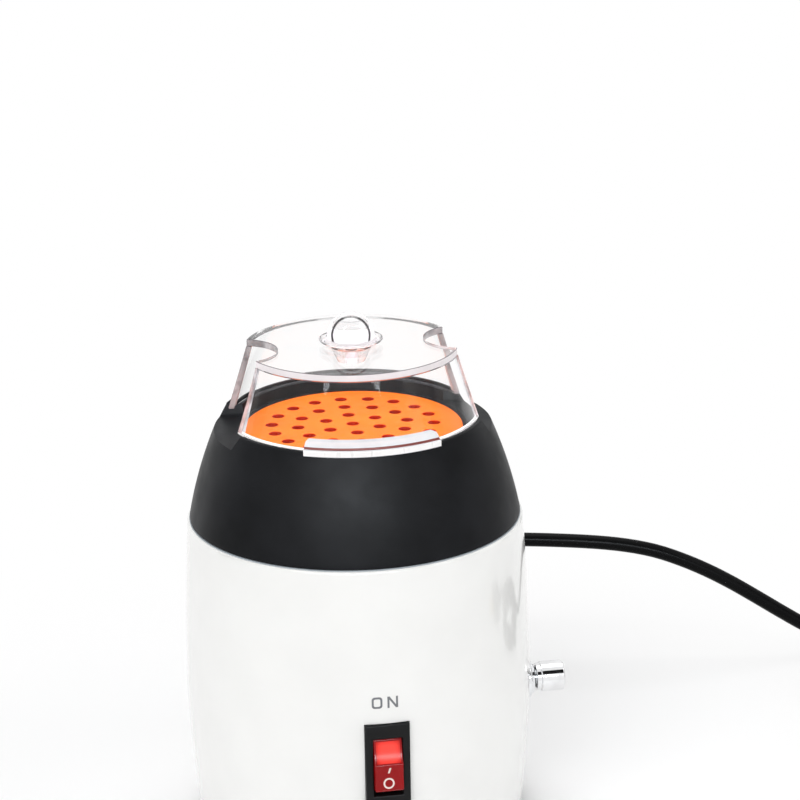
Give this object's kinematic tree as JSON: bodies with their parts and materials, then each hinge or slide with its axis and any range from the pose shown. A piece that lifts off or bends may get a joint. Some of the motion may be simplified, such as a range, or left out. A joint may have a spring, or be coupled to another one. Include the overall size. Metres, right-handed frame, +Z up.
{
  "type": "eyeglass frame warmer",
  "caption": "Barrel-shaped hot air warmer for spectacle frames with a clear slotted lid, a rocker switch, a heat control knob and a put-away mains cord",
  "frame": {"origin": "centre of the foot ring's lower face, on the counter", "axes": "+Z up through the lid's knob, -Y towards the rocker switch at the front, +X towards the heat control knob on the right"},
  "size_m": [0.3756, 0.1964, 0.1957],
  "materials": {
    "white_gloss": "glossy moulded white",
    "seam_grey": "satin blue grey",
    "collar_black": "matt heat resistant black",
    "zinc_steel": "bright zinc plated steel",
    "orange_enamel": "smooth orange enamel",
    "tinplate": "bright rolled sheet steel",
    "ceramic_felt": "pressed white ceramic felt",
    "mica_board": "layered tan mica",
    "heater_wire": "oxidised resistance wire",
    "dark_plastic": "moulded dark grey",
    "motor_steel": "grey painted steel can",
    "pale_plastic": "moulded pale nylon",
    "black_rubber": "soft matt black rubber",
    "wire_sheath": "smooth wire sheath",
    "switch_black": "fine matt black",
    "brass_blade": "stamped brass",
    "rocker_red": "glossy red, lit from within",
    "nickel_bright": "polished nickel plate",
    "nickel_satin": "turned satin nickel",
    "cord_sheath": "smooth black cord sheath",
    "clear_sheet": "clear polished acrylic"
  },
  "bodies": {
    "housing": {"barrel": "white_gloss", "seam_ring": "seam_grey", "collar": "collar_black", "collar_screws": "zinc_steel", "hot_plate": "orange_enamel", "heat_duct": "tinplate", "duct_screws": "zinc_steel", "insulation_sleeve": "ceramic_felt", "mica_cross": "mica_board", "heater_winding": "heater_wire", "thermal_cutout": "tinplate", "thermal_fuse": "ceramic_felt", "fan_housing": "dark_plastic", "housing_screws": "zinc_steel", "fan_motor": "motor_steel", "motor_screws": "zinc_steel", "base_plate": "dark_plastic", "base_screws": "zinc_steel", "foot_ring": "black_rubber", "terminal_block": "pale_plastic", "wiring": "wire_sheath", "switch_housing": "switch_black", "switch_terminals": "brass_blade", "control_body": "dark_plastic", "control_nut": "nickel_bright", "cord_gland": "black_rubber", "gland_clip": "black_rubber", "power_cord": "cord_sheath", "cord_coil": "cord_sheath", "cord_tie": "black_rubber", "plug_body": "cord_sheath", "plug_blades": "brass_blade"},
    "rocker": {"switch_rocker": "rocker_red"},
    "knob": {"control_shaft": "zinc_steel", "side_knob": "nickel_satin"},
    "fan": {"motor_shaft": "zinc_steel", "fan_impeller": "pale_plastic"},
    "lid": {"lid_front_panel": "clear_sheet", "lid_rear_panel": "clear_sheet", "lid_disc": "clear_sheet", "lid_front_lip": "clear_sheet", "lid_knob": "clear_sheet", "lid_nut": "clear_sheet"}
  },
  "joints": [
    {"name": "lid_lift", "type": "slide", "parent": "housing", "child": "lid", "axis": [0, 0, 1], "range_m": [0, 0.06]},
    {"name": "rocker_tilt", "type": "hinge", "parent": "housing", "child": "rocker", "pos_m": [0, -0.0591, 0.046], "axis": [1, 0, 0], "range_deg": [0, 24]},
    {"name": "knob_turn", "type": "hinge", "parent": "housing", "child": "knob", "pos_m": [0.06, 0, 0.046], "axis": [1, 0, 0], "range_deg": [0, 280]},
    {"name": "fan_spin", "type": "hinge", "parent": "housing", "child": "fan", "pos_m": [0, 0, 0.066], "axis": [0, 0, 1], "continuous": true}
  ]
}
